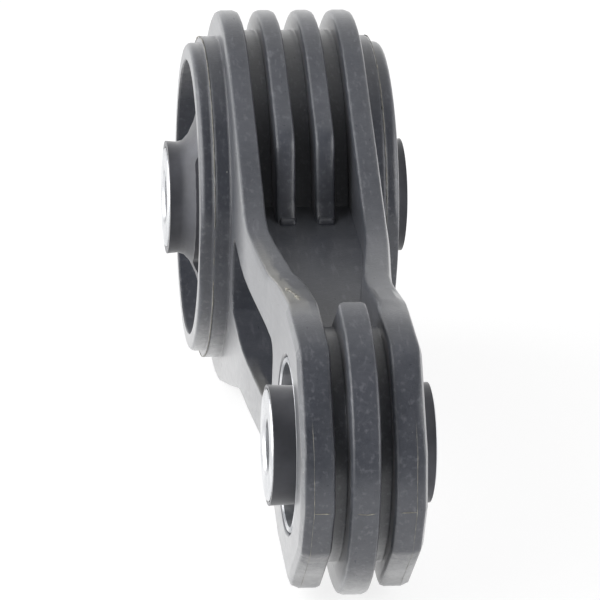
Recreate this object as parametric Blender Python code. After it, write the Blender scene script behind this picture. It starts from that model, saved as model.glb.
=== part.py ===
"""Engine torque strut: an injection-moulded dog-bone link between an engine and the body of a car.

Metres, +Z up. The strut rests on the edge of its ribs, the small eye towards -Y, the bush axes along X.
Shapes are drawn in the strut's own frame: u runs from the large eye to the small eye, v is up from the
plane of the two bush axes, x lies along the axes. The finished solids are then laid down on the floor.
"""

import bpy
import bmesh
import math
from mathutils import Matrix, Vector

MM = 0.001

# Whole strut
CENTRE_DISTANCE = 135.4 * MM
PIECE_GAP = 0.3 * MM
FUSE = 0.5 * MM
STOCK = 2.0 * MM
SHARP_EDGE = 0.01 * MM

# Large eye
LARGE_HOLE_R = 34.0 * MM
LARGE_LIP_R = 38.1 * MM
LARGE_LIP_HALF = 23.9 * MM
LARGE_STEP_R = 39.7 * MM
LARGE_STEP_HALF = 20.7 * MM
LARGE_GROOVE_R = 41.1 * MM
LARGE_RING_FLAT_U = 36.9 * MM
LARGE_STEP_FLAT_U = 38.1 * MM
LIP_FILLET = 1.3 * MM
LIP_SPLIT = 0.05 * MM
STEP_FILLET = 0.5 * MM
STEP_SETBACK = 2.0 * MM
STEP_RUN = 0.4 * MM
LARGE_RIB_R = 46.0 * MM
RIB_INNER_X0 = 2.3 * MM
RIB_INNER_X1 = 7.1 * MM
RIB_OUTER_X0 = 11.2 * MM
RIB_OUTER_X1 = 16.7 * MM
RIB_FILLET = 1.5 * MM
RIB_EDGE_FILLET = 1.2 * MM
RIB_TANGENT_DEG = 68.0
RIB_SHOULDER_U = 40.3 * MM
RIB_SHOULDER_V = 32.4 * MM
RIB_SHOULDER_R = 9.0 * MM
RIB_FOOT_U = 45.9 * MM
RIB_FOOT_V = 18.0 * MM
RIB_FOOT_R = 3.0 * MM
RIB_TOE_U = 49.3 * MM

# Arm
FLOOR_V = 14.0 * MM
FLOOR_OVERLAP = 8.0 * MM
CREST_SHOULDER_U = 41.8 * MM
CREST_SHOULDER_V = 32.0 * MM
CREST_R = 26.0 * MM
WAIST_START_U = 65.0 * MM
WAIST_START_R = 26.0 * MM
WAIST_END_U = 92.5 * MM
WAIST_END_R = 13.0 * MM
WAIST_V = 21.4 * MM
NARROW_START_U = 62.0 * MM
NARROW_END_U = 108.0 * MM
POCKET_HALF_V = 9.3 * MM
POCKET_START_U = 43.4 * MM
POCKET_END_U = 105.0 * MM
POCKET_CORNER_R = 4.0 * MM
CENTRE_WALL_HALF = 1.6 * MM

# Small eye
SMALL_HOLE_R = 19.4 * MM
SMALL_HOLE_CHAMFER = 0.8 * MM
SMALL_TUBE_R = 25.5 * MM
SMALL_TUBE_SETBACK = 2.4 * MM
SMALL_CHEEK_X0 = 6.3 * MM
SMALL_CHEEK_X1 = 13.4 * MM
SMALL_CHEEK_FILLET = 2.3 * MM
SMALL_RIB_R = 32.7 * MM
SMALL_RIB_HALF = 3.15 * MM
SMALL_RIB_FILLET = 1.2 * MM
SMALL_TIP = 32.3 * MM
CORNER_LOW_U = 28.6 * MM
CORNER_LOW_V = 11.8 * MM
CORNER_LOW_R = 5.0 * MM
CORNER_HIGH_U = 12.1 * MM
CORNER_HIGH_V = 29.4 * MM
CORNER_HIGH_R = 6.0 * MM
CHEEK_BACK_U = 10.5 * MM
CHEEK_BACK_R = 12.0 * MM
SMALL_RIB_TURN_DEG = 95.0
SMALL_RIB_BACK_U = 19.5 * MM
SMALL_RIB_BACK_RISE = 2.5 * MM
SMALL_RIB_BACK_RUN = 6.0 * MM
SMALL_RIB_BACK_R = 4.0 * MM

# Both bushes
SLEEVE_R = 12.2 * MM
SLEEVE_BORE_R = 6.25 * MM
SLEEVE_CHAMFER = 0.6 * MM
SKIN_SETBACK = 0.35 * MM
SKIN_FLARE = 0.25 * MM

# Large bush
LARGE_SLEEVE_HALF = 29.5 * MM
LARGE_SKIN_R = 13.7 * MM
LARGE_SKIN_NECK = 2.6 * MM
LARGE_WALL_RUBBER_HALF = 18.2 * MM
LARGE_WALL_RUBBER_T = 2.4 * MM
LARGE_CONE_START = 0.5 * MM
LARGE_CONE_POWER = 2.3
VOID_INNER_R = 16.6 * MM
VOID_OUTER_R = 27.4 * MM
VOID_HALF_DEG = 56.0
VOID_CORNER_R = 2.6 * MM

# Small bush
SMALL_SLEEVE_HALF = 17.9 * MM
SMALL_SKIN_R = 12.9 * MM
SMALL_SKIN_NECK = 5.4 * MM
SMALL_RING_WALL = 1.2 * MM
SMALL_RING_HALF = 13.3 * MM
SMALL_RING_CHAMFER = 0.3 * MM
SMALL_RUBBER_HALF = 8.0 * MM
SMALL_RUBBER_RIM = 1.6 * MM
SMALL_RUBBER_DISH_T = 2.2 * MM

ROUND = 60
BUSH_ROUND = 48
FILLET_STEPS = 2
NARROW_BENDS = 7


def clear_scene():
    for item in list(bpy.data.objects):
        bpy.data.objects.remove(item, do_unlink=True)


def material(name, colour, metallic, roughness):
    made = bpy.data.materials.new(name)
    made.use_nodes = True
    shader = made.node_tree.nodes["Principled BSDF"]
    shader.inputs["Base Color"].default_value = (colour[0], colour[1], colour[2], 1.0)
    shader.inputs["Metallic"].default_value = metallic
    shader.inputs["Roughness"].default_value = roughness
    return made


def finish_mesh(name, bm):
    bmesh.ops.remove_doubles(bm, verts=bm.verts, dist=1e-6)
    bmesh.ops.recalc_face_normals(bm, faces=bm.faces)
    mesh = bpy.data.meshes.new(name)
    bm.to_mesh(mesh)
    bm.free()
    made = bpy.data.objects.new(name, mesh)
    bpy.context.scene.collection.objects.link(made)
    return made


def rounded(points, steps=4):
    """The closed polygon through (u, v, radius) corners, each corner replaced by an arc of its radius."""
    out = []
    count = len(points)
    for i in range(count):
        a = Vector(points[i - 1][:2])
        b = Vector(points[i][:2])
        c = Vector(points[(i + 1) % count][:2])
        radius = points[i][2]
        into = (a - b).normalized()
        away = (c - b).normalized()
        angle = math.acos(max(-1.0, min(1.0, into.dot(away))))
        if radius <= 0.0 or angle > math.radians(179.0):
            out.append((b.x, b.y))
            continue
        back = radius / math.tan(angle / 2.0)
        start = b + into * back
        end = b + away * back
        centre = b + (into + away).normalized() * (radius / math.sin(angle / 2.0))
        first = start - centre
        last = end - centre
        turn = math.atan2(first.x * last.y - first.y * last.x, first.dot(last))
        for k in range(steps + 1):
            part = turn * k / steps
            x = first.x * math.cos(part) - first.y * math.sin(part)
            y = first.x * math.sin(part) + first.y * math.cos(part)
            out.append((centre.x + x, centre.y + y))
    return out


def arc(centre_u, radius, start_deg, end_deg, steps):
    """Corners with no rounding on an arc about (centre_u, 0)."""
    out = []
    for k in range(steps + 1):
        t = math.radians(start_deg + (end_deg - start_deg) * k / steps)
        out.append((centre_u + radius * math.cos(t), radius * math.sin(t), 0.0))
    return out


def mirrored(upper):
    """Upper half of an outline, from the small-eye side to the large-eye side, closed by its mirror image."""
    lower = [(p[0], -p[1], p[2]) for p in reversed(upper) if abs(p[1]) > 1e-9]
    return upper + lower


def offset_points(points, insets):
    """Moves every point of an anticlockwise polygon inwards by its own inset."""
    out = []
    count = len(points)
    for i in range(count):
        a = Vector(points[i - 1])
        b = Vector(points[i])
        c = Vector(points[(i + 1) % count])
        n1 = Vector((-(b - a).y, (b - a).x)).normalized()
        n2 = Vector((-(c - b).y, (c - b).x)).normalized()
        normal = (n1 + n2).normalized()
        out.append(b + normal * (insets[i] / max(0.5, normal.dot(n1))))
    return out


def plate(name, points, x0, x1, fillet0, fillet1, cuts=(), reshape=None):
    """A plate across x with rounded rims; cuts are u positions where reshape may bend it."""
    levels = []
    for k in range(FILLET_STEPS + 1):
        t = math.pi / 2.0 * k / FILLET_STEPS
        levels.append((x0 + fillet0(0.0) * (1.0 - math.sin(t)), 0, 1.0 - math.cos(t)))
    levels.reverse()
    for k in range(FILLET_STEPS + 1):
        t = math.pi / 2.0 * k / FILLET_STEPS
        levels.append((x1 - fillet1(0.0) * (1.0 - math.sin(t)), 1, 1.0 - math.cos(t)))
    bm = bmesh.new()
    rings = []
    for x, side, f in levels:
        size = fillet1 if side else fillet0
        ring_points = offset_points(points, [f * size(p[0]) for p in points])
        rings.append([bm.verts.new((x, -p.x, p.y)) for p in ring_points])
    for low, high in zip(rings, rings[1:]):
        for i in range(len(points)):
            j = (i + 1) % len(points)
            bm.faces.new((low[i], low[j], high[j], high[i]))
    bm.faces.new(rings[0])
    bm.faces.new(list(reversed(rings[-1])))
    for u in cuts:
        bmesh.ops.bisect_plane(
            bm,
            geom=bm.verts[:] + bm.edges[:] + bm.faces[:],
            plane_co=(0.0, -u, 0.0),
            plane_no=(0.0, 1.0, 0.0),
            dist=1e-7,
        )
    if reshape:
        for vert in bm.verts:
            vert.co.x = reshape(vert.co.x, -vert.co.y)
    return finish_mesh(name, bm)


def levels_fixed(value):
    return lambda u: value


def lathe(name, profile, centre_u, steps=ROUND):
    """Turns a closed (x, radius) profile about the bush axis at centre_u."""
    bm = bmesh.new()
    verts = [bm.verts.new((x, 0.0, r)) for x, r in profile]
    edges = []
    for i in range(len(verts)):
        j = (i + 1) % len(verts)
        if profile[i][1] > 0.0 or profile[j][1] > 0.0:
            edges.append(bm.edges.new((verts[i], verts[j])))
    bmesh.ops.spin(
        bm,
        geom=verts + edges,
        cent=(0.0, 0.0, 0.0),
        axis=(1.0, 0.0, 0.0),
        angle=math.tau,
        steps=round(steps),
    )
    bmesh.ops.translate(bm, verts=bm.verts, vec=(0.0, -centre_u, 0.0))
    return finish_mesh(name, bm)


def prism_up(name, points, v0, v1):
    """A prism standing on the (u, x) polygon between two v heights."""
    bm = bmesh.new()
    low = [bm.verts.new((x, -u, v0)) for u, x in points]
    high = [bm.verts.new((x, -u, v1)) for u, x in points]
    for i in range(len(points)):
        j = (i + 1) % len(points)
        bm.faces.new((low[i], low[j], high[j], high[i]))
    bm.faces.new(low)
    bm.faces.new(list(reversed(high)))
    return finish_mesh(name, bm)


def combine(target, tool, operation):
    """Joins or cuts target with tool and bakes the result into target."""
    change = target.modifiers.new("combine", "BOOLEAN")
    change.operation = operation
    change.solver = "EXACT"
    change.object = tool
    graph = bpy.context.evaluated_depsgraph_get()
    mesh = bpy.data.meshes.new_from_object(target.evaluated_get(graph))
    target.modifiers.clear()
    target.data = mesh
    bpy.data.objects.remove(tool, do_unlink=True)


def narrowing(u):
    """Share of the change of width reached at u: an S-curve taken straight between its bend lines."""
    t = max(0.0, min(1.0, (u - NARROW_START_U) / (NARROW_END_U - NARROW_START_U)))
    low = math.floor(t * NARROW_BENDS) / NARROW_BENDS
    high = min(1.0, low + 1.0 / NARROW_BENDS)
    value_low = low * low * (3.0 - 2.0 * low)
    value_high = high * high * (3.0 - 2.0 * high)
    return value_low + (value_high - value_low) * (t - low) * NARROW_BENDS


def cheek_fillet(u):
    return RIB_FILLET + (SMALL_CHEEK_FILLET - RIB_FILLET) * narrowing(u)


def bend_flange(x, u):
    """Shifts the flange from the width of the large eye to the width of the small eye."""
    share = narrowing(u)
    middle = (RIB_OUTER_X0 + RIB_OUTER_X1) / 2.0
    if abs(x) > middle:
        depth = (RIB_OUTER_X1 - abs(x)) * cheek_fillet(u) / RIB_FILLET
        return math.copysign(RIB_OUTER_X1 + (SMALL_CHEEK_X1 - RIB_OUTER_X1) * share - depth, x)
    return math.copysign(abs(x) + (SMALL_CHEEK_X0 - RIB_OUTER_X0) * share, x)


def flange_outline():
    """Side flange: large-eye rib, crest falling to the waist, eight-sided cheek of the small eye."""
    upper = [
        (CENTRE_DISTANCE + SMALL_TIP, 0.0, 0.0),
        (CENTRE_DISTANCE + CORNER_LOW_U, CORNER_LOW_V, CORNER_LOW_R),
        (CENTRE_DISTANCE + CORNER_HIGH_U, CORNER_HIGH_V, CORNER_HIGH_R),
        (CENTRE_DISTANCE - CHEEK_BACK_U, CORNER_HIGH_V, CHEEK_BACK_R),
        (WAIST_END_U, WAIST_V, WAIST_END_R),
        (WAIST_START_U, WAIST_V, WAIST_START_R),
        (CREST_SHOULDER_U, CREST_SHOULDER_V, CREST_R),
    ]
    upper += arc(0.0, LARGE_RIB_R, RIB_TANGENT_DEG, 180.0, 18)
    return rounded(mirrored(upper))


def inner_rib_outline():
    """Middle rib of the large eye, with a foot that spreads onto the floor of the channel."""
    upper = [
        (RIB_TOE_U, FLOOR_V - FUSE, 0.0),
        (RIB_FOOT_U, RIB_FOOT_V, RIB_FOOT_R),
        (RIB_SHOULDER_U, RIB_SHOULDER_V, RIB_SHOULDER_R),
    ]
    upper += arc(0.0, LARGE_RIB_R, RIB_TANGENT_DEG, 180.0, 18)
    return rounded(mirrored(upper))


def small_rib_outline():
    """Middle rib of the small eye, round outside and sloping down to the channel floor behind."""
    back = CENTRE_DISTANCE - SMALL_RIB_BACK_U
    upper = arc(CENTRE_DISTANCE, SMALL_RIB_R, 0.0, SMALL_RIB_TURN_DEG, 16)
    upper.append((back, FLOOR_V + SMALL_RIB_BACK_RISE, SMALL_RIB_BACK_R))
    upper.append((back - SMALL_RIB_BACK_RUN, FLOOR_V - FUSE, 0.0))
    return rounded(mirrored(upper))


def ring_profile(outer, half, fillet, hole):
    points = [(-half, hole)]
    for k in range(3):
        t = math.pi / 2.0 * k / 2
        points.append((-half + fillet * (1.0 - math.cos(t)), outer - fillet * (1.0 - math.sin(t))))
    for k in range(3):
        t = math.pi / 2.0 * (1.0 - k / 2)
        points.append((half - fillet * (1.0 - math.cos(t)), outer - fillet * (1.0 - math.sin(t))))
    points.append((half, hole))
    return points


def large_ring_profile(hole):
    """Right half from the middle groove outwards: groove floor, step, lip with a rounded rim."""
    right = [
        (RIB_OUTER_X0 + STEP_SETBACK, LARGE_GROOVE_R),
        (RIB_OUTER_X0 + STEP_SETBACK + STEP_RUN, LARGE_STEP_R),
        (LARGE_STEP_HALF - STEP_FILLET, LARGE_STEP_R),
        (LARGE_STEP_HALF, LARGE_STEP_R - STEP_FILLET),
        (LARGE_STEP_HALF + LIP_SPLIT, LARGE_LIP_R),
    ]
    for k in range(4):
        t = math.pi / 2.0 * (1.0 - k / 3)
        x = LARGE_LIP_HALF - LIP_FILLET * (1.0 - math.cos(t))
        right.append((x, LARGE_LIP_R - LIP_FILLET * (1.0 - math.sin(t))))
    right.append((LARGE_LIP_HALF, hole))
    return right + [(-x, r) for x, r in reversed(right)]


def flatten_ring(ring):
    """Draws the arm side of the eye ring's step and lip back to flats."""
    for vert in ring.data.vertices:
        if abs(vert.co.x) > LARGE_STEP_HALF + LIP_SPLIT / 2.0:
            vert.co.y = max(vert.co.y, -LARGE_RING_FLAT_U)
        elif abs(vert.co.x) > RIB_OUTER_X0 + STEP_SETBACK + STEP_RUN / 2.0:
            vert.co.y = max(vert.co.y, -LARGE_STEP_FLAT_U)


def build_body(nylon):
    body = lathe("strut_body", large_ring_profile(LARGE_HOLE_R - STOCK), 0.0)
    flatten_ring(body)
    bends = []
    for k in range(NARROW_BENDS + 1):
        bends.append(NARROW_START_U + (NARROW_END_U - NARROW_START_U) * k / NARROW_BENDS)
    stations = [RIB_FOOT_U - FLOOR_OVERLAP] + bends + [CENTRE_DISTANCE - SMALL_HOLE_R - STOCK]
    left = [(u, -bend_flange(RIB_OUTER_X0, u) - FUSE) for u in stations]
    right = [(u, -x) for u, x in reversed(left)]
    core = prism_up("core", left + right, -FLOOR_V, FLOOR_V)
    combine(body, core, "UNION")
    tube = lathe(
        "tube",
        ring_profile(SMALL_TUBE_R, SMALL_CHEEK_X1 - SMALL_TUBE_SETBACK, STEP_FILLET, SMALL_HOLE_R - STOCK),
        CENTRE_DISTANCE,
    )
    combine(body, tube, "UNION")
    inner_points = inner_rib_outline()
    flange_points = flange_outline()
    small_edge = levels_fixed(RIB_EDGE_FILLET)
    for side in (-1.0, 1.0):
        rib = plate(
            "rib",
            inner_points,
            side * RIB_INNER_X0 if side > 0 else -RIB_INNER_X1,
            side * RIB_INNER_X1 if side > 0 else -RIB_INNER_X0,
            small_edge,
            small_edge,
        )
        combine(body, rib, "UNION")
        if side > 0:
            flange = plate(
                "flange", flange_points, RIB_OUTER_X0, RIB_OUTER_X1, small_edge, cheek_fillet, bends, bend_flange
            )
        else:
            flange = plate(
                "flange", flange_points, -RIB_OUTER_X1, -RIB_OUTER_X0, cheek_fillet, small_edge, bends, bend_flange
            )
        combine(body, flange, "UNION")
    middle = levels_fixed(SMALL_RIB_FILLET)
    rib = plate("rib", small_rib_outline(), -SMALL_RIB_HALF, SMALL_RIB_HALF, middle, middle)
    combine(body, rib, "UNION")
    reach = 2.0 * LARGE_LIP_HALF
    pocket = rounded(
        [
            (POCKET_END_U, -POCKET_HALF_V, POCKET_CORNER_R),
            (POCKET_END_U, POCKET_HALF_V, POCKET_CORNER_R),
            (POCKET_START_U, POCKET_HALF_V, POCKET_CORNER_R),
            (POCKET_START_U, -POCKET_HALF_V, POCKET_CORNER_R),
        ]
    )
    sharp = levels_fixed(SHARP_EDGE)
    for side in (-1.0, 1.0):
        low = CENTRE_WALL_HALF if side > 0 else -reach
        high = reach if side > 0 else -CENTRE_WALL_HALF
        cutter = plate("pocket", pocket, low, high, sharp, sharp)
        combine(body, cutter, "DIFFERENCE")
    edge = SMALL_CHEEK_X1
    cone = SMALL_HOLE_CHAMFER
    hole = lathe(
        "hole",
        [
            (-reach, 0.0),
            (-reach, SMALL_HOLE_R + cone),
            (-edge - FUSE, SMALL_HOLE_R + cone),
            (-edge + cone, SMALL_HOLE_R),
            (edge - cone, SMALL_HOLE_R),
            (edge + FUSE, SMALL_HOLE_R + cone),
            (reach, SMALL_HOLE_R + cone),
            (reach, 0.0),
        ],
        CENTRE_DISTANCE,
    )
    combine(body, hole, "DIFFERENCE")
    hole = lathe("hole", [(-reach, 0.0), (-reach, LARGE_HOLE_R), (reach, LARGE_HOLE_R), (reach, 0.0)], 0.0)
    combine(body, hole, "DIFFERENCE")
    dress(body, nylon, 28.0)
    return body


def dress(item, finish, sharp_deg):
    item.data.materials.clear()
    item.data.materials.append(finish)
    for poly in item.data.polygons:
        poly.material_index = 0
        poly.use_smooth = True
    item.data.set_sharp_from_angle(angle=math.radians(sharp_deg))


def build_sleeve(name, half, centre_u, steel):
    c = SLEEVE_CHAMFER
    b = SLEEVE_BORE_R
    r = SLEEVE_R
    profile = [
        (-half, b + c),
        (-half, r - c / 2.0),
        (-half + c / 2.0, r),
        (half - c / 2.0, r),
        (half, r - c / 2.0),
        (half, b + c),
        (half - c, b),
        (-half + c, b),
    ]
    sleeve = lathe(name, profile, centre_u, BUSH_ROUND)
    dress(sleeve, steel, 30.0)
    return sleeve


def mirrored_profile(right):
    """Closes an (x, radius) profile given for x > 0 from outside to inside with its mirror image."""
    return right + [(-x, r) for x, r in reversed(right)]


def build_large_rubber(rubber):
    """Rubber bonded between ring and sleeve: a wall, a hollow cone on each side, a skin along the sleeve."""
    bond = SLEEVE_R + PIECE_GAP
    end = LARGE_SLEEVE_HALF - SKIN_SETBACK
    wall = LARGE_HOLE_R - PIECE_GAP
    cone_x = LARGE_WALL_RUBBER_HALF + LARGE_CONE_START
    cone_r = wall - LARGE_WALL_RUBBER_T
    right = [(LARGE_WALL_RUBBER_HALF, wall)]
    for k in range(6):
        s = k / 5
        x = cone_x + (end - LARGE_SKIN_NECK - cone_x) * s
        right.append((x, LARGE_SKIN_R + (cone_r - LARGE_SKIN_R) * (1.0 - s) ** LARGE_CONE_POWER))
    right.append((end, LARGE_SKIN_R + SKIN_FLARE))
    right.append((end, bond))
    profile = mirrored_profile(right)
    body = lathe("large_bush_rubber", profile, 0.0, BUSH_ROUND)
    reach = 2.0 * LARGE_LIP_HALF
    sharp = levels_fixed(SHARP_EDGE)
    for side in (0.0, 180.0):
        points = []
        for k in range(13):
            t = math.radians(side - VOID_HALF_DEG + 2.0 * VOID_HALF_DEG * k / 12)
            r = VOID_CORNER_R if k in (0, 12) else 0.0
            points.append((VOID_OUTER_R * math.cos(t), VOID_OUTER_R * math.sin(t), r))
        for k in range(9):
            t = math.radians(side + VOID_HALF_DEG - 2.0 * VOID_HALF_DEG * k / 8)
            r = VOID_CORNER_R * 0.6 if k in (0, 8) else 0.0
            points.append((VOID_INNER_R * math.cos(t), VOID_INNER_R * math.sin(t), r))
        cutter = plate("void", rounded(points, 3), -reach, reach, sharp, sharp)
        combine(body, cutter, "DIFFERENCE")
    dress(body, rubber, 35.0)
    return body


def build_small_ring(steel):
    outer = SMALL_HOLE_R - PIECE_GAP
    inner = outer - SMALL_RING_WALL
    half = SMALL_RING_HALF
    c = SMALL_RING_CHAMFER
    profile = [
        (-half, inner + c),
        (-half, outer - c),
        (-half + c, outer),
        (half - c, outer),
        (half, outer - c),
        (half, inner + c),
        (half - c, inner),
        (-half + c, inner),
    ]
    ring = lathe("small_bush_outer_ring", profile, CENTRE_DISTANCE, BUSH_ROUND)
    dress(ring, steel, 30.0)
    return ring


def build_small_rubber(rubber):
    bond = SLEEVE_R + PIECE_GAP
    end = SMALL_SLEEVE_HALF - SKIN_SETBACK
    wall = SMALL_HOLE_R - 2.0 * PIECE_GAP - SMALL_RING_WALL
    profile = mirrored_profile(
        [
            (SMALL_RUBBER_HALF + SMALL_RUBBER_RIM, wall),
            (SMALL_RUBBER_HALF, wall - SMALL_RUBBER_DISH_T),
            (SMALL_RUBBER_HALF + SMALL_RUBBER_RIM / 3.0, SMALL_SKIN_R + SMALL_RUBBER_RIM),
            (SMALL_RUBBER_HALF + SMALL_RUBBER_RIM, SMALL_SKIN_R + SKIN_FLARE),
            (end - SMALL_SKIN_NECK, SMALL_SKIN_R),
            (end, SMALL_SKIN_R + SKIN_FLARE),
            (end, bond),
        ]
    )
    body = lathe("small_bush_rubber", profile, CENTRE_DISTANCE, BUSH_ROUND)
    dress(body, rubber, 35.0)
    return body


def lay_down(items):
    """Rests both eyes on the floor and centres the strut on the origin."""
    drop = math.asin((LARGE_RIB_R - SMALL_RIB_R) / CENTRE_DISTANCE)
    run = CENTRE_DISTANCE * math.cos(drop)
    length = LARGE_RIB_R + run + SMALL_RIB_R
    place = Matrix.Translation((0.0, length / 2.0 - LARGE_RIB_R, LARGE_RIB_R))
    place = place @ Matrix.Rotation(drop, 4, "X")
    for item in items:
        item.data.transform(place)
        item.data.update()


def main():
    clear_scene()
    nylon = material("glass_filled_nylon_black", (0.035, 0.036, 0.040), 0.0, 0.48)
    rubber = material("bush_rubber_black", (0.016, 0.016, 0.018), 0.0, 0.70)
    turned = material("sleeve_steel_turned", (0.72, 0.73, 0.75), 1.0, 0.28)
    rolled = material("outer_ring_steel_rolled", (0.55, 0.56, 0.58), 1.0, 0.38)
    items = [
        build_body(nylon),
        build_large_rubber(rubber),
        build_sleeve("large_bush_inner_sleeve", LARGE_SLEEVE_HALF, 0.0, turned),
        build_small_ring(rolled),
        build_small_rubber(rubber),
        build_sleeve("small_bush_inner_sleeve", SMALL_SLEEVE_HALF, CENTRE_DISTANCE, turned),
    ]
    lay_down(items)


main()
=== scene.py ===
"""Finish and picture of the engine torque strut.

Sizes are in metres. The strut's own frame has u from the large eye to the small eye, v up from the plane
of the two bush axes and x along the axes; place() turns it into the row's frame.
"""

import math

import bpy
import numpy as np
from mathutils import Matrix, Vector


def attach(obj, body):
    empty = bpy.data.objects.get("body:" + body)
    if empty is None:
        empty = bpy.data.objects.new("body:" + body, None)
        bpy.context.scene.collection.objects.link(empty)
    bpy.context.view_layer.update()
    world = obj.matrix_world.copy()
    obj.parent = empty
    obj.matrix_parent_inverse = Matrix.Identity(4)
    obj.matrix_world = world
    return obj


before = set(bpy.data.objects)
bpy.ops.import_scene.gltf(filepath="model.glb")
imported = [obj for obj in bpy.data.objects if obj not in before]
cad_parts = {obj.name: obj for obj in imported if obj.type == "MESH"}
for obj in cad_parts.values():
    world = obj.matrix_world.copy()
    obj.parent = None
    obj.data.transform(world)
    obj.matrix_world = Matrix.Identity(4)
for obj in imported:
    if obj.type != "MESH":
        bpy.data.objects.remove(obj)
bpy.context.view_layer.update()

MM = 0.001

# Sizes repeated from the solids
CENTRE_DISTANCE = 135.4 * MM
LARGE_RIB_R = 46.0 * MM
SMALL_RIB_R = 32.7 * MM
LARGE_STEP_R = 39.7 * MM
LARGE_STEP_HALF = 20.7 * MM
LARGE_STEP_FLAT_U = 38.1 * MM
SMALL_TIP = 32.3 * MM
CHEEK_X0 = 6.3 * MM
CHEEK_X1 = 13.4 * MM
CHEEK_FILLET = 2.3 * MM
CHEEK_LOW_CORNER = (28.6 * MM, 11.8 * MM)
CHEEK_HIGH_CORNER = (12.1 * MM, 29.4 * MM)
CHEEK_CORNER_R = 5.0 * MM
FOOT_U = 48.4 * MM
FOOT_V = 14.0 * MM

DROP = math.asin((LARGE_RIB_R - SMALL_RIB_R) / CENTRE_DISTANCE)
LENGTH = LARGE_RIB_R + CENTRE_DISTANCE * math.cos(DROP) + SMALL_RIB_R
EYE_Y = LENGTH / 2.0 - LARGE_RIB_R
EYE_Z = LARGE_RIB_R

# Directions square to the crest of the side flanges, as (u, v): on the slope, at the waist, on the rise
CREST_SLOPE = (0.4155, 0.9096)
CREST_WAIST = (0.0, 1.0)
CREST_RISE = (-0.24, 0.971)

# The pale band on the left crest, partly rubbing and partly a painted highlight, starts where -x + slope u
# passes about this many millimetres
PALE_CREST_SLOPE = 0.0865
PALE_CREST_START = 20.1

# The tent of light: the share of it that falls on the strut, and how bright its open front and its roof are
TENT_LIGHT = 0.84
TENT_MOUTH = 0.19
TENT_ROOF = 0.58

TABLE_REACH = 3.0
TABLE_FRONT = -0.34

# Name, place, width and power of each lamp
LAMPS = (
    ("key", (-1.3, 0.15, 0.55), 1.7, 20.0),
    ("left_fill", (-1.2, -0.6, 0.5), 1.5, 11.0),
    ("right_fill", (1.15, -0.6, 0.4), 1.4, 15.0),
)
LAMP_TARGET = (0.0, 0.0, 0.04)

# Camera as measured on the photograph: angles from the strut's own frame, distance in pixels, the pixel of
# the large bush's middle and the size of a pixel there
YAW, RISE, ROLL = 0.1119, 0.4367, -0.0149
CAMERA_DISTANCE = 3952.38
EYE_PIXEL = (283.24, 195.68)
PIXEL = 0.248 * MM
IMAGE = 600.0

MATH = "ShaderNodeMath"
VECTOR_MATH = "ShaderNodeVectorMath"
RAMP = "ShaderNodeValToRGB"
MIX = "ShaderNodeMix"
NOISE = "ShaderNodeTexNoise"
XYZ = "ShaderNodeSeparateXYZ"
PRINCIPLED = "ShaderNodeBsdfPrincipled"


def place(x, u, v):
    """Points of the strut's own frame in the row's frame: a turn by DROP about the large bush axis."""
    x, u, v = np.broadcast_arrays(np.asarray(x, float), np.asarray(u, float), np.asarray(v, float))
    y = EYE_Y - u * math.cos(DROP) - v * math.sin(DROP)
    z = EYE_Z - u * math.sin(DROP) + v * math.cos(DROP)
    return np.stack([x, y, z], axis=-1)


def outward(u, v):
    """Unit vectors of the strut's frame directions (u, v) in the row's frame."""
    u, v = np.asarray(u, float), np.asarray(v, float)
    way = place(0.0, u, v) - place(0.0, 0.0, 0.0)
    return way / np.linalg.norm(way, axis=-1, keepdims=True)


def linear(code):
    """sRGB hex to linear RGBA."""
    c = np.array([int(code[i : i + 2], 16) for i in (1, 3, 5)]) / 255.0
    c = np.where(c <= 0.04045, c / 12.92, ((c + 0.055) / 1.055) ** 2.4)
    return (float(c[0]), float(c[1]), float(c[2]), 1.0)


def add(tree, kind, settings=None, links=None):
    """Adds one node.

    Settings are its properties, its socket values or a ramp's stops, each a position with a hex colour or a
    grey. Links are (socket, output) pairs.
    """
    node = tree.nodes.new(kind)
    for key, value in (settings or {}).items():
        if key == "stops":
            elements = node.color_ramp.elements
            while len(elements) < len(value):
                elements.new(0.5)
            for element, (position, tone) in zip(elements, value):
                element.position = position
                element.color = linear(tone) if isinstance(tone, str) else (tone, tone, tone, 1.0)
        elif isinstance(key, str) and hasattr(node, key):
            setattr(node, key, value)
        else:
            node.inputs[key].default_value = value
    for key, source in (links or {}).items():
        tree.links.new(source, node.inputs[key])
    return node


def in_mm(reach, *stops):
    """Ramp stops given in millimetres, for a value that runs from 0 to 1 over reach millimetres."""
    return [(distance / reach, tone) for distance, tone in stops]


def new_material(name):
    made = bpy.data.materials.new(name)
    made.use_nodes = True
    made.node_tree.nodes.clear()
    return made, made.node_tree


def strut_shares(tree, where):
    """A point's u and v in the strut's frame, as shares of 200 mm."""
    eye = tuple(place(0.0, 0.0, 0.0).tolist())
    from_eye = add(tree, VECTOR_MATH, {"operation": "SUBTRACT", 1: eye}, {0: where}).outputs[0]
    shares = []
    for u, v in ((1.0, 0.0), (0.0, 1.0)):
        axis = tuple((5.0 * outward(u, v)).tolist())
        dot = add(tree, VECTOR_MATH, {"operation": "DOT_PRODUCT", 1: axis}, {0: from_eye})
        shares.append(dot.outputs["Value"])
    return shares


def turned_towards(tree, share, normal, wanted):
    """The surface direction turned by share towards another direction."""
    mixed = add(tree, MIX, {"data_type": "VECTOR"}, {0: share, 4: normal, 5: wanted}).outputs[1]
    return add(tree, VECTOR_MATH, {"operation": "NORMALIZE"}, {0: mixed}).outputs[0]


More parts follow.
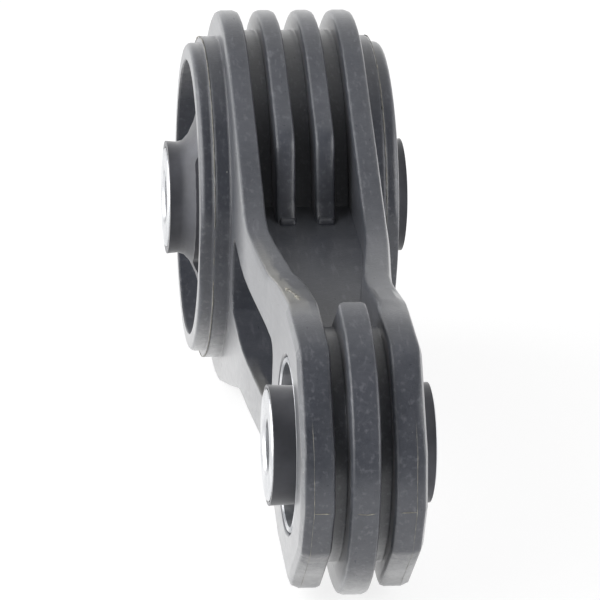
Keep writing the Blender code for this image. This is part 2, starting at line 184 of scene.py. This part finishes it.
def rounder_front(tree, where, normal):
    """Turns the surface direction of the small eye's rib fronts most of the way to radial.

    Radial is straight out from the bush axis. The tool's cavity was blended by hand there, so the flats of
    the cheeks run softly into each other.
    """
    axis = tuple(place(0.0, CENTRE_DISTANCE, 0.0).tolist())
    flat = add(tree, VECTOR_MATH, {"operation": "MULTIPLY", 1: (0.0, 1.0, 1.0)}, {0: where}).outputs[0]
    out = add(tree, VECTOR_MATH, {"operation": "SUBTRACT", 1: axis}, {0: flat}).outputs[0]
    far = add(tree, VECTOR_MATH, {"operation": "LENGTH"}, {0: out}).outputs["Value"]
    radial = add(tree, VECTOR_MATH, {"operation": "NORMALIZE"}, {0: out}).outputs[0]
    agree = add(tree, VECTOR_MATH, {"operation": "DOT_PRODUCT"}, {0: radial, 1: normal}).outputs["Value"]
    far_share = add(tree, MATH, {"operation": "MULTIPLY", 1: 20.0}, {0: far}).outputs[0]
    ring = in_mm(50.0, (28.0, 0.0), (29.0, 1.0), (35.0, 1.0), (38.0, 0.0))
    near = add(tree, RAMP, {"stops": ring}, {0: far_share}).outputs[0]
    aligned = add(tree, RAMP, {"stops": [(0.80, 0.0), (0.90, 0.75)]}, {0: agree}).outputs[0]
    share = add(tree, MATH, {"operation": "MULTIPLY"}, {0: near, 1: aligned}).outputs[0]
    return turned_towards(tree, share, normal, radial)


def softer_crest(tree, u_share, v_share, normal):
    """Lets the crest of each side flange run from slope to waist to cheek without a bend line.

    Along the arm the direction goes over from square to one straight stretch to square to the next.
    """
    slope, level, rise = (tuple(outward(*way).tolist()) for way in (CREST_SLOPE, CREST_WAIST, CREST_RISE))
    first = add(tree, RAMP, {"stops": in_mm(200.0, (51.0, 0.0), (80.0, 1.0))}, {0: u_share}).outputs[0]
    second = add(tree, RAMP, {"stops": in_mm(200.0, (82.0, 0.0), (104.0, 1.0))}, {0: u_share}).outputs[0]
    at_waist = add(tree, MIX, {"data_type": "VECTOR", 4: slope, 5: level}, {0: first}).outputs[1]
    wanted = add(tree, MIX, {"data_type": "VECTOR", 5: rise}, {0: second, 4: at_waist}).outputs[1]
    arm = in_mm(200.0, (48.0, 0.0), (54.0, 1.0), (110.0, 1.0), (120.0, 0.0))
    span = add(tree, RAMP, {"stops": arm}, {0: u_share}).outputs[0]
    high = add(tree, RAMP, {"stops": in_mm(200.0, (19.0, 0.0), (20.0, 1.0))}, {0: v_share}).outputs[0]
    agree = add(tree, VECTOR_MATH, {"operation": "DOT_PRODUCT"}, {0: wanted, 1: normal}).outputs["Value"]
    aligned = add(tree, RAMP, {"stops": [(0.86, 0.0), (0.93, 0.9)]}, {0: agree}).outputs[0]
    share = add(tree, MATH, {"operation": "MULTIPLY"}, {0: span, 1: high}).outputs[0]
    share = add(tree, MATH, {"operation": "MULTIPLY"}, {0: share, 1: aligned}).outputs[0]
    return turned_towards(tree, share, normal, wanted)


def painted_table_reflection(tree, where, side_x, upward, bloom):
    """Painted reflection of the white table: pale colour on the undersides and the low part of both outer
    flanks, which face the table.
    """
    downward = add(tree, MATH, {"operation": "MULTIPLY", 1: -1.0}, {0: upward}).outputs[0]
    under = add(tree, RAMP, {"stops": [(0.5, 0.0), (0.8, 1.0)]}, {0: downward}).outputs[0]
    facing = add(tree, XYZ, links={0: add(tree, "ShaderNodeNewGeometry").outputs["Normal"]}).outputs["X"]
    sideways = add(tree, MATH, {"operation": "ABSOLUTE"}, {0: facing}).outputs[0]
    flank = add(tree, RAMP, {"stops": [(0.8, 0.0), (0.97, 1.0)]}, {0: sideways}).outputs[0]
    height = add(tree, XYZ, links={0: where}).outputs["Z"]
    height_share = add(tree, MATH, {"operation": "MULTIPLY", 1: 20.0}, {0: height}).outputs[0]
    low = add(tree, RAMP, {"stops": in_mm(50.0, (12.5, 0.95), (47.5, 0.0))}, {0: height_share}).outputs[0]
    off_middle = add(tree, MATH, {"operation": "ABSOLUTE"}, {0: side_x}).outputs[0]
    side_share = add(tree, MATH, {"operation": "MULTIPLY", 1: 50.0}, {0: off_middle}).outputs[0]
    outer = add(tree, RAMP, {"stops": in_mm(20.0, (12.4, 0.15), (12.9, 1.0))}, {0: side_share}).outputs[0]
    flank_low = add(tree, MATH, {"operation": "MULTIPLY"}, {0: flank, 1: low}).outputs[0]
    flank_low = add(tree, MATH, {"operation": "MULTIPLY"}, {0: flank_low, 1: outer}).outputs[0]
    # share of the painted table reflection, strongest on downward faces and low outer flanks
    painted_pale_share = add(tree, MATH, {"operation": "MAXIMUM"}, {0: under, 1: flank_low}).outputs[0]
    mottle = add(tree, RAMP, {"stops": [(0.35, 0.35), (0.65, 1.0)]}, {0: bloom}).outputs[0]
    return add(tree, MATH, {"operation": "MULTIPLY"}, {0: painted_pale_share, 1: mottle}).outputs[0]


def crest_rub_and_painted_highlight(tree, side_x, u_share, upward, streak):
    """A pale band on the crest of the left flange that widens towards the cheek: partly rubbing, partly a
    painted highlight standing in for a rounder edge than the solid has.

    It starts about 12 mm left of the middle plane 85 mm along u, and about 8.5 mm left of it 42 mm on.
    """
    widening = add(
        tree, MATH, {"operation": "MULTIPLY_ADD", 1: 100.0 * PALE_CREST_SLOPE, 2: -0.5 * PALE_CREST_START}, {0: u_share}
    ).outputs[0]
    into = add(tree, MATH, {"operation": "MULTIPLY_ADD", 1: -500.0}, {0: side_x, 2: widening}).outputs[0]
    torn = add(tree, MATH, {"operation": "MULTIPLY_ADD", 1: 1.6}, {0: streak, 2: into}).outputs[0]
    band = add(tree, RAMP, {"stops": [(0.40, 0.0), (1.0, 0.7)]}, {0: torn}).outputs[0]
    stretch = in_mm(200.0, (72.0, 0.0), (100.0, 1.0), (120.0, 1.0), (132.0, 0.0))
    reach = add(tree, RAMP, {"stops": stretch}, {0: u_share}).outputs[0]
    facing_up = add(tree, RAMP, {"stops": [(0.7, 0.0), (0.85, 1.0)]}, {0: upward}).outputs[0]
    crest = add(tree, MATH, {"operation": "MULTIPLY"}, {0: band, 1: reach}).outputs[0]
    return add(tree, MATH, {"operation": "MULTIPLY"}, {0: crest, 1: facing_up}).outputs[0]


def moulded_nylon():
    """Glass-filled nylon 66, injection moulded in a spark-eroded tool.

    Black pigment under a thin bloom of glass fibre gives the eye a slate grey with pale clouds, a satin skin
    that goes pale at a slant, short rubbed streaks, soft edges and a few pale nicks.
    """
    made, tree = new_material("glass_filled_nylon_moulded")
    where = add(tree, "ShaderNodeTexCoord").outputs["Object"]
    u_share, v_share = strut_shares(tree, where)
    side_x = add(tree, XYZ, links={0: where}).outputs["X"]
    upward = add(tree, XYZ, links={0: add(tree, "ShaderNodeNewGeometry").outputs["Normal"]}).outputs["Z"]
    # Clouds are about 18 mm across, bloom 2 mm, tool texture 0.6 mm
    cloud, bloom, grain = (
        add(tree, NOISE, {"Scale": scale, "Detail": detail, "Roughness": rough}, {0: where}).outputs["Fac"]
        for scale, detail, rough in ((55.0, 4.0, 0.6), (480.0, 5.0, 0.75), (1700.0, 3.0, 0.6))
    )
    # Nicks are about 0.3 mm across, larger than most real ones so that they show, in cells 3 mm apart
    cells = add(tree, "ShaderNodeTexVoronoi", {"Scale": 340.0, "Randomness": 1.0}, {"Vector": where})
    rare = add(tree, NOISE, {"Scale": 150.0, "Detail": 1.0}, {"Vector": where})
    dots = add(tree, RAMP, {"stops": [(0.0, 0.8), (0.04, 0.7), (0.075, 0.0)]}, {0: cells.outputs["Distance"]})
    few = add(tree, RAMP, {"stops": [(0.62, 0.0), (0.68, 1.0)]}, {0: rare.outputs["Fac"]})
    nicks = add(tree, MATH, {"operation": "MULTIPLY"}, {0: dots.outputs[0], 1: few.outputs[0]}).outputs[0]
    # Rubbed streaks run along the strut, 1 mm wide and about 9 mm long
    along = add(tree, "ShaderNodeMapping", {"Scale": (1.0, 0.12, 1.0)}, {"Vector": where}).outputs[0]
    streak = add(tree, NOISE, {"Scale": 900.0, "Detail": 3.0, "Roughness": 0.6}, {0: along}).outputs["Fac"]
    rubbed = add(tree, RAMP, {"stops": [(0.55, 0.0), (0.70, 0.5)]}, {0: streak}).outputs[0]
    # Scratches are hair lines where a stretched, bent pattern passes its middle value
    slanted = add(
        tree, "ShaderNodeMapping", {"Rotation": (0.5, 0.3, 0.9), "Scale": (1.0, 0.22, 1.0)}, {"Vector": where}
    ).outputs[0]
    lines = add(tree, NOISE, {"Scale": 210.0, "Detail": 1.5, "Distortion": 0.6}, {"Vector": slanted})
    hair_stops = [(0.490, 0.0), (0.498, 0.3), (0.502, 0.3), (0.510, 0.0)]
    hair = add(tree, RAMP, {"stops": hair_stops}, {0: lines.outputs["Fac"]}).outputs[0]
    gate = add(tree, RAMP, {"stops": [(0.50, 0.0), (0.62, 0.9)]}, {0: cloud}).outputs[0]
    scratched = add(tree, MATH, {"operation": "MULTIPLY"}, {0: hair, 1: gate}).outputs[0]
    marked = add(tree, MATH, {"operation": "MAXIMUM"}, {0: rubbed, 1: scratched}).outputs[0]
    fibres = add(tree, RAMP, {"stops": [(0.40, 0.0), (0.58, 0.18), (0.74, 0.45)]}, {0: bloom}).outputs[0]
    colour = add(tree, RAMP, {"stops": [(0.30, "#363941"), (0.52, "#3f424a"), (0.74, "#4a4c54")]}, {0: cloud})
    colour = colour.outputs["Color"]
    for share, over in (
        (fibres, "#5f6168"),
        (nicks, "#b9b7b0"),
        (marked, "#6e6f76"),
        # painted reflection of the white table on the undersides and low flanks
        (painted_table_reflection(tree, where, side_x, upward, bloom), "#9c9c9d"),
        # pale band on the left crest: rubbing and a painted highlight of a rounder edge
        (crest_rub_and_painted_highlight(tree, side_x, u_share, upward, streak), "#a8a69f"),
    ):
        colour = add(tree, MIX, {"data_type": "RGBA", 7: linear(over)}, {0: share, 6: colour}).outputs[2]
    rough = add(tree, MATH, {"operation": "MULTIPLY_ADD", 1: 0.22, 2: 0.21}, {0: streak}).outputs[0]
    height = add(tree, MATH, {"operation": "MULTIPLY_ADD", 1: 0.8}, {0: bloom, 2: grain}).outputs[0]
    rounding = add(tree, "ShaderNodeBevel", {"samples": 6, "Radius": 0.9 * MM}).outputs["Normal"]
    turned = softer_crest(tree, u_share, v_share, rounder_front(tree, where, rounding))
    texture = {"Strength": 0.25, "Distance": 0.14 * MM}
    bump = add(tree, "ShaderNodeBump", texture, {"Height": height, "Normal": turned}).outputs["Normal"]
    # The coat is the resin-rich skin of the moulding over the fibres
    shader = add(
        tree,
        PRINCIPLED,
        {
            "IOR": 1.53,
            "Metallic": 0.0,
            "Specular IOR Level": 0.35,
            "Coat Weight": 1.0,
            "Coat Roughness": 0.32,
            "Coat IOR": 1.5,
            "Sheen Weight": 0.1,
            "Sheen Roughness": 0.4,
        },
        {"Base Color": colour, "Roughness": rough, "Normal": bump, "Coat Normal": bump},
    )
    add(tree, "ShaderNodeOutputMaterial", links={"Surface": shader.outputs["BSDF"]})
    return made


def nylon_flash():
    """Thin nylon flash left where two halves of the tool met: ragged, and so thin that it is paler."""
    made, tree = new_material("glass_filled_nylon_flash")
    where = add(tree, "ShaderNodeTexCoord").outputs["Object"]
    noise = add(tree, NOISE, {"Scale": 700.0, "Detail": 3.0}, {"Vector": where}).outputs["Fac"]
    colour = add(tree, RAMP, {"stops": [(0.35, "#6a6964"), (0.55, "#8f8c82"), (0.72, "#b5b1a4")]}, {0: noise})
    shader = add(tree, PRINCIPLED, {"IOR": 1.53, "Roughness": 0.5}, {"Base Color": colour.outputs["Color"]})
    add(tree, "ShaderNodeOutputMaterial", links={"Surface": shader.outputs["BSDF"]})
    return made


def bush_rubber():
    """Natural rubber, press-moulded and bonded: dark grey and matt, with a faint powdery bloom."""
    made, tree = new_material("natural_rubber_moulded")
    where = add(tree, "ShaderNodeTexCoord").outputs["Object"]
    # Bloom is in clouds of 11 mm, the grain of the mould 0.7 mm
    cloud = add(tree, NOISE, {"Scale": 90.0, "Detail": 4.0}, {"Vector": where}).outputs["Fac"]
    grain = add(tree, NOISE, {"Scale": 1500.0, "Detail": 3.0}, {"Vector": where}).outputs["Fac"]
    colour = add(tree, RAMP, {"stops": [(0.35, "#3c3d43"), (0.55, "#4d4e54"), (0.75, "#606168")]}, {0: cloud})
    rough = add(tree, MATH, {"operation": "MULTIPLY_ADD", 1: 0.25, 2: 0.45}, {0: cloud}).outputs[0]
    bump = add(tree, "ShaderNodeBump", {"Strength": 0.2, "Distance": 0.1 * MM}, {"Height": grain})
    shader = add(
        tree,
        PRINCIPLED,
        {"IOR": 1.52, "Sheen Weight": 0.8, "Sheen Roughness": 0.4},
        {"Base Color": colour.outputs["Color"], "Roughness": rough, "Normal": bump.outputs["Normal"]},
    )
    add(tree, "ShaderNodeOutputMaterial", links={"Surface": shader.outputs["BSDF"]})
    return made


def turned_steel(name, centre, tint, rough_low):
    """Free-cutting steel turned on a lathe and zinc plated: bright, with fine rings about the bush axis."""
    made, tree = new_material(name)
    where = add(tree, "ShaderNodeTexCoord").outputs["Object"]
    # The rings are 0.5 mm apart, coarser than real feed marks so that they show
    local = add(
        tree,
        "ShaderNodeMapping",
        {"Location": (0.0, -float(centre[1]), -float(centre[2])), "Scale": (0.0, 1.0, 1.0)},
        {"Vector": where},
    )
    rings = add(
        tree,
        "ShaderNodeTexWave",
        {"wave_type": "RINGS", "rings_direction": "X", "Scale": 640.0, "Distortion": 0.6, "Detail": 2.0},
        {"Vector": local.outputs[0]},
    ).outputs["Fac"]
    stain = add(tree, NOISE, {"Scale": 180.0, "Detail": 4.0}, {"Vector": where}).outputs["Fac"]
    colour = add(tree, RAMP, {"stops": [(0.35, tint), (0.7, "#e9eaec")]}, {0: stain})
    rough = add(tree, MATH, {"operation": "MULTIPLY_ADD", 1: 0.14, 2: rough_low}, {0: rings}).outputs[0]
    bump = add(tree, "ShaderNodeBump", {"Strength": 0.12, "Distance": 0.05 * MM}, {"Height": rings})
    shader = add(
        tree,
        PRINCIPLED,
        {"Metallic": 1.0},
        {"Base Color": colour.outputs["Color"], "Roughness": rough, "Normal": bump.outputs["Normal"]},
    )
    add(tree, "ShaderNodeOutputMaterial", links={"Surface": shader.outputs["BSDF"]})
    return made


def rounded(points, steps=6):
    """The polygon through (u, v, radius) corners with each corner replaced by an arc of its radius."""
    out = []
    for i, (u, v, radius) in enumerate(points):
        b = np.array([u, v])
        if radius <= 0.0:
            out.append(b[None, :])
            continue
        a = np.array(points[i - 1][:2]) - b
        c = np.array(points[i + 1][:2]) - b
        a, c = a / np.linalg.norm(a), c / np.linalg.norm(c)
        angle = math.acos(float(np.clip(a @ c, -1.0, 1.0)))
        centre = b + (a + c) / np.linalg.norm(a + c) * radius / math.sin(angle / 2.0)
        first = b + a * radius / math.tan(angle / 2.0) - centre
        last = b + c * radius / math.tan(angle / 2.0) - centre
        turn = math.atan2(first[0] * last[1] - first[1] * last[0], first @ last)
        t = np.linspace(0.0, turn, steps + 1)
        arc = np.stack(
            [first[0] * np.cos(t) - first[1] * np.sin(t), first[0] * np.sin(t) + first[1] * np.cos(t)], axis=1
        )
        out.append(centre + arc)
    return np.concatenate(out)


def resample(path, count):
    """The same path at count points spaced evenly by length, with the length run so far at each."""
    step = np.linalg.norm(np.diff(path, axis=0), axis=1)
    run = np.concatenate([[0.0], np.cumsum(step)])
    at = np.linspace(0.0, run[-1], count)
    return np.stack([np.interp(at, run, path[:, k]) for k in range(path.shape[1])], axis=1), at


def ragged(at, seed, length):
    """Random height from 0 to 1 along at: random values every length, joined by straight lines."""
    rng = np.random.default_rng(seed)
    knots = int(at[-1] / length) + 3
    return np.interp(at, np.arange(knots) * length, rng.random(knots))


def ends_taper(at, length):
    """Rises from near 0 to 1 over length at both ends of at, in straight lines."""
    return np.clip(np.minimum(at, at[-1] - at) / length, 0.02, 1.0)


def bead(name, centre, tall, width, height, finish, closed=False, around=8):
    """A thin bead along a path: at each point an ellipse of that half width and height, drawn across it.

    The ellipse's centre is the path point, its height is along tall and its width along path cross tall.
    """
    count = len(centre)
    if closed:
        ahead = np.roll(centre, -1, axis=0) - np.roll(centre, 1, axis=0)
    else:
        ahead = np.gradient(centre, axis=0)
    ahead /= np.linalg.norm(ahead, axis=1, keepdims=True)
    side = np.cross(ahead, tall)
    side /= np.linalg.norm(side, axis=1, keepdims=True)
    t = np.arange(around) * (2.0 * np.pi / around)
    grid = (
        centre[:, None, :]
        + side[:, None, :] * (np.cos(t)[None, :, None] * width[:, None, None])
        + tall[:, None, :] * (np.sin(t)[None, :, None] * height[:, None, None])
    )
    i = np.arange(count if closed else count - 1)[:, None]
    j = np.arange(around)[None, :]
    n = (i + 1) % count
    m = (j + 1) % around
    quads = np.stack([i * around + j, n * around + j, n * around + m, i * around + m], axis=-1)
    faces = quads.reshape(-1, 4).tolist()
    if not closed:
        faces.append(list(range(around)))
        faces.append([count * around - 1 - k for k in range(around)])
    mesh = bpy.data.meshes.new(name)
    mesh.from_pydata(grid.reshape(-1, 3).tolist(), [], faces)
    mesh.polygons.foreach_set("use_smooth", np.ones(len(faces), bool))
    mesh.update()
    mesh.materials.append(finish)
    made = bpy.data.objects.new(name, mesh)
    bpy.context.scene.collection.objects.link(made)
    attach(made, "root")


def collar_flash(name, side, seed, finish):
    """Flash round the large eye where the side core met the tool: the step's circle cut by its flat."""
    t = np.linspace(-np.pi, np.pi, 481)[:-1]
    u = np.minimum(LARGE_STEP_R * np.cos(t), LARGE_STEP_FLAT_U)
    v = LARGE_STEP_R * np.sin(t)
    at = np.cumsum(np.hypot(np.gradient(u), np.gradient(v)))
    rough = ragged(at, seed, 1.1 * MM)
    bits = np.clip((ragged(at, seed + 10, 2.3 * MM) - 0.86) / 0.14, 0.0, 1.0)
    sunk = 1.0 - 0.12 * MM / LARGE_STEP_R
    centre = place(side * (LARGE_STEP_HALF - 0.10 * MM), u * sunk, v * sunk)
    size = (0.07 + 0.06 * rough + 0.12 * bits) * MM
    bead(name, centre, outward(np.cos(t), np.sin(t)), size, size * 1.1 + 0.03 * MM, finish, closed=True)


def cheek_outline(v_top, v_low):
    """Front outline of a small-eye cheek between two heights: (u, v) points and their outward directions."""
    low_u, low_v = CENTRE_DISTANCE + CHEEK_LOW_CORNER[0], CHEEK_LOW_CORNER[1]
    high_u, high_v = CENTRE_DISTANCE + CHEEK_HIGH_CORNER[0], CHEEK_HIGH_CORNER[1]
    corners = [
        (high_u, high_v, 0.0),
        (low_u, low_v, CHEEK_CORNER_R),
        (CENTRE_DISTANCE + SMALL_TIP, 0.0, 0.0),
        (low_u, -low_v, CHEEK_CORNER_R),
        (high_u, -high_v, 0.0),
    ]
    path, at = resample(rounded(corners), 400)
    keep = (path[:, 1] <= v_top) & (path[:, 1] >= v_low)
    path, at = path[keep], at[keep] - at[keep][0]
    ahead = np.gradient(path, axis=0)
    normal = np.stack([-ahead[:, 1], ahead[:, 0]], axis=1)
    normal /= np.linalg.norm(normal, axis=1, keepdims=True)
    return path, normal, at


def cheek_flash(name, side, seed, finish):
    """Thin upright flash where the side core ended: a path down a cheek's front outline at nearly one x."""
    path, normal, at = cheek_outline(17.7 * MM, -28.0 * MM)
    rough = ragged(at, seed, 1.7 * MM)
    wander = 0.12 * MM * (ragged(at, 41, 9.0 * MM) - 0.5)
    x = side * (CHEEK_X1 - CHEEK_FILLET - 0.2 * MM + wander)
    size = (0.025 + 0.035 * rough) * MM * ends_taper(at, 4.0 * MM)
    tall = outward(normal[:, 0], normal[:, 1])
    bead(name, place(x, path[:, 0], path[:, 1]), tall, size, size * 1.2, finish)


def parting_flash(name, x0, x1, u_front, seed, finish):
    """Level flash across one rib of the small eye on the plane of the bush axes: a straight path along x."""
    at = np.linspace(0.0, x1 - x0, 90)
    rough = ragged(at, seed, 0.7 * MM)
    wander = (ragged(at, seed + 1, 2.4 * MM) - 0.5) * 0.35 * MM
    centre = place(x0 + at, u_front, wander)
    size = (0.07 + 0.06 * rough) * MM * ends_taper(at, 0.9 * MM)
    bead(name, centre, np.broadcast_to(outward(1.0, 0.0), centre.shape), size, size * 1.3, finish)


def rib_foot(name, x0, x1, finish):
    """Fillet at the foot of a large-eye rib: an ellipse carried along x in the corner of rib and arm."""
    at = np.linspace(0.0, x1 - x0, 24)
    centre = place(x0 + at, FOOT_U, FOOT_V)
    ends = np.sqrt(np.clip(np.minimum(at, at[-1] - at) / (0.5 * MM), 0.05, 1.0))
    tall = np.broadcast_to(outward(0.0, 1.0), centre.shape)
    bead(name, centre, tall, 1.5 * MM * ends, 1.2 * MM * ends, finish, around=24)


def flange_burr(name, finish):
    """Torn flash on the left flange's crest: a ragged bead over straight lines between (x, u, v) points."""
    line = np.array(
        [(-11.9, 108.0, 24.95), (-11.0, 115.8, 27.15), (-10.35, 121.4, 28.55), (-9.5, 125.9, 29.35)]
    ) * MM
    path, at = resample(line, 80)
    rough = ragged(at, 61, 0.6 * MM)
    wander = (ragged(at, 62, 1.3 * MM) - 0.5) * 0.7 * MM
    tall = np.broadcast_to(outward(0.0, 1.0), path.shape)
    size = (0.08 + 0.26 * rough**2) * MM * ends_taper(at, 2.0 * MM)
    bead(name, place(path[:, 0] + wander, path[:, 1], path[:, 2]), tall, size * 1.3, size, finish)


def smooth_group(degrees):
    """A modifier that keeps every edge sharper than this angle as a crease and smooths the rest."""
    group = bpy.data.node_groups.new("smooth_below_%d" % degrees, "GeometryNodeTree")
    group.interface.new_socket("Geometry", in_out="INPUT", socket_type="NodeSocketGeometry")
    group.interface.new_socket("Geometry", in_out="OUTPUT", socket_type="NodeSocketGeometry")
    start = add(group, "NodeGroupInput")
    angle = add(group, "GeometryNodeInputMeshEdgeAngle")
    flat = add(
        group,
        "FunctionNodeCompare",
        {"data_type": "FLOAT", "operation": "LESS_THAN", 1: math.radians(degrees)},
        {0: angle.outputs[0]},
    )
    shade = add(
        group,
        "GeometryNodeSetShadeSmooth",
        {"domain": "EDGE"},
        {"Geometry": start.outputs[0], "Shade Smooth": flat.outputs[0]},
    )
    add(group, "NodeGroupOutput", links={0: shade.outputs[0]})
    return group


def soften(name, finish, degrees):
    """Gives a CAD node its finish and smooths its facets below an edge angle, with its points left alone."""
    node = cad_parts[name]
    node.data.materials.clear()
    node.data.materials.append(finish)
    node.data.polygons.foreach_set("use_smooth", np.ones(len(node.data.polygons), bool))
    weld = node.modifiers.new("weld", "WELD")
    weld.merge_threshold = 0.01 * MM
    smooth = node.modifiers.new("smooth", "NODES")
    smooth.node_group = bpy.data.node_groups.get("smooth_below_%d" % degrees) or smooth_group(degrees)
    weighted = node.modifiers.new("weighted", "WEIGHTED_NORMAL")
    weighted.keep_sharp = True
    weighted.weight = 60


def dress_strut():
    nylon = moulded_nylon()
    rubber = bush_rubber()
    flash = nylon_flash()
    large = place(0.0, 0.0, 0.0)
    small = place(0.0, CENTRE_DISTANCE, 0.0)
    soften("strut_body", nylon, 32)
    soften("large_bush_rubber", rubber, 40)
    soften("small_bush_rubber", rubber, 40)
    soften("large_bush_inner_sleeve", turned_steel("sleeve_steel_turned_large", large, "#c9cbce", 0.24), 30)
    soften("small_bush_inner_sleeve", turned_steel("sleeve_steel_turned_small", small, "#c9cbce", 0.24), 30)
    soften("small_bush_outer_ring", turned_steel("outer_ring_steel_rolled", small, "#9fa2a6", 0.32), 30)
    for word, side, collar_seed, cheek_seed in (("left", -1.0, 11, 31), ("right", 1.0, 12, 32)):
        collar_flash("collar_flash_" + word, side, collar_seed, flash)
        cheek_flash("cheek_flash_" + word, side, cheek_seed, flash)
    rib_foot("rib_foot_left", -6.45 * MM, -2.4 * MM, nylon)
    rib_foot("rib_foot_right", 2.55 * MM, 6.75 * MM, nylon)
    flange_burr("flange_burr", flash)
    cheek_front = CENTRE_DISTANCE + SMALL_TIP
    inner, outer = CHEEK_X0 + 0.9 * MM, CHEEK_X1 - 2.4 * MM
    parting_flash("parting_flash_left", -outer, -inner, cheek_front, 51, flash)
    parting_flash("parting_flash_right", inner, outer, cheek_front, 53, flash)
    parting_flash("parting_flash_middle", -2.1 * MM, 2.1 * MM, CENTRE_DISTANCE + SMALL_RIB_R, 55, flash)


def mirrored_ray(tree, path):
    """1 for rays from gloss and through glass."""
    return add(
        tree,
        MATH,
        {"operation": "MAXIMUM"},
        {0: path.outputs["Is Glossy Ray"], 1: path.outputs["Is Transmission Ray"]},
    ).outputs[0]


def set_world():
    """A white tent of light with a dimmer roof and an open, darker front.

    The camera sees it white, gloss mirrors it as it is, and the strut is lit by a share of it.
    """
    world = bpy.data.worlds.new("studio")
    bpy.context.scene.world = world
    world.use_nodes = True
    tree = world.node_tree
    tree.nodes.clear()
    towards = add(tree, "ShaderNodeTexCoord").outputs["Object"]
    facing = add(
        tree, VECTOR_MATH, {"operation": "DOT_PRODUCT", 1: (0.0, -0.93, 0.37)}, {0: towards}
    ).outputs["Value"]
    sides = add(tree, RAMP, {"stops": [(0.15, 1.0), (0.6, 0.35), (0.9, TENT_MOUTH)]}, {0: facing}).outputs[0]
    height = add(tree, XYZ, links={0: towards}).outputs["Z"]
    roof = add(tree, RAMP, {"stops": [(0.05, 1.0), (0.45, TENT_ROOF)]}, {0: height}).outputs[0]
    wall = add(tree, MATH, {"operation": "MULTIPLY"}, {0: sides, 1: roof}).outputs[0]
    lit = add(tree, MATH, {"operation": "MULTIPLY", 1: TENT_LIGHT}, {0: wall}).outputs[0]
    path = add(tree, "ShaderNodeLightPath")
    level = add(tree, MIX, {"data_type": "FLOAT"}, {0: mirrored_ray(tree, path), 2: lit, 3: wall}).outputs[0]
    seen = path.outputs["Is Camera Ray"]
    strength = add(tree, MATH, {"operation": "MAXIMUM"}, {0: seen, 1: level}).outputs[0]
    shine = add(tree, "ShaderNodeBackground", {"Color": (1.0, 1.0, 1.0, 1.0)}, {"Strength": strength})
    add(tree, "ShaderNodeOutputWorld", links={"Surface": shine.outputs[0]})


def set_floor():
    """White table: seen and mirrored near white, with the strut's soft shadow left on it."""
    made, tree = new_material("table_white_laminate")
    plain = add(tree, "ShaderNodeBsdfDiffuse", {"Color": (0.82, 0.82, 0.82, 1.0)})
    dim = add(tree, "ShaderNodeBsdfDiffuse", {"Color": (0.30, 0.30, 0.30, 1.0)})
    glow = add(tree, "ShaderNodeEmission", {"Color": (1.0, 1.0, 1.0, 1.0), "Strength": 0.81})
    white = add(tree, "ShaderNodeAddShader", links={0: dim.outputs[0], 1: glow.outputs[0]})
    path = add(tree, "ShaderNodeLightPath")
    seen = path.outputs["Is Camera Ray"]
    looked_at = add(tree, MATH, {"operation": "MAXIMUM"}, {0: seen, 1: mirrored_ray(tree, path)}).outputs[0]
    mix = add(tree, "ShaderNodeMixShader", links={0: looked_at, 1: plain.outputs[0], 2: white.outputs[0]})
    add(tree, "ShaderNodeOutputMaterial", links={"Surface": mix.outputs[0]})
    corners = [
        (-TABLE_REACH, TABLE_FRONT, 0.0),
        (TABLE_REACH, TABLE_FRONT, 0.0),
        (TABLE_REACH, TABLE_REACH, 0.0),
        (-TABLE_REACH, TABLE_REACH, 0.0),
    ]
    mesh = bpy.data.meshes.new("table")
    mesh.from_pydata(corners, [], [(0, 1, 2, 3)])
    mesh.materials.append(made)
    table = bpy.data.objects.new("table", mesh)
    bpy.context.scene.collection.objects.link(table)


def set_lamp(name, position, width, power):
    data = bpy.data.lights.new(name, "AREA")
    data.shape = "SQUARE"
    data.size = width
    data.energy = power
    lamp = bpy.data.objects.new(name, data)
    bpy.context.scene.collection.objects.link(lamp)
    lamp.location = position
    lamp.rotation_mode = "QUATERNION"
    lamp.rotation_quaternion = (Vector(LAMP_TARGET) - Vector(position)).to_track_quat("-Z", "Y")


def set_camera():
    """Long lens a little left of the strut's middle plane and 25 degrees above its axis.

    Its directions are worked out as (x, u, v) from yaw, rise and roll and then turned into the row's frame.
    """
    back = np.array([-math.sin(YAW), math.cos(YAW) * math.cos(RISE), math.cos(YAW) * math.sin(RISE)])
    up = np.array([0.0, -math.sin(RISE), math.cos(RISE)])
    up -= back * (up @ back)
    up /= np.linalg.norm(up)
    # The (x, u, v) frame is left-handed
    right = -np.cross(up, back)
    right, up = (
        math.cos(ROLL) * right + math.sin(ROLL) * up,
        -math.sin(ROLL) * right + math.cos(ROLL) * up,
    )
    middle = IMAGE / 2.0
    spot = right * (middle - EYE_PIXEL[0]) + up * (EYE_PIXEL[1] - middle) + back * CAMERA_DISTANCE
    data = bpy.data.cameras.new("camera")
    data.sensor_width = 36.0
    data.lens = data.sensor_width * CAMERA_DISTANCE / IMAGE
    data.clip_start = 0.1
    data.clip_end = 20.0
    camera = bpy.data.objects.new("camera", data)
    bpy.context.scene.collection.objects.link(camera)
    axes = np.stack([place(*way) - place(0.0, 0.0, 0.0) for way in (right, up, back)], axis=1)
    camera.matrix_world = Matrix(axes.tolist()).to_4x4()
    camera.location = Vector(place(*(spot * PIXEL)))
    bpy.context.scene.camera = camera


dress_strut()
set_world()
set_floor()
for lamp in LAMPS:
    set_lamp(*lamp)
set_camera()
bpy.context.scene.view_settings.view_transform = "Standard"
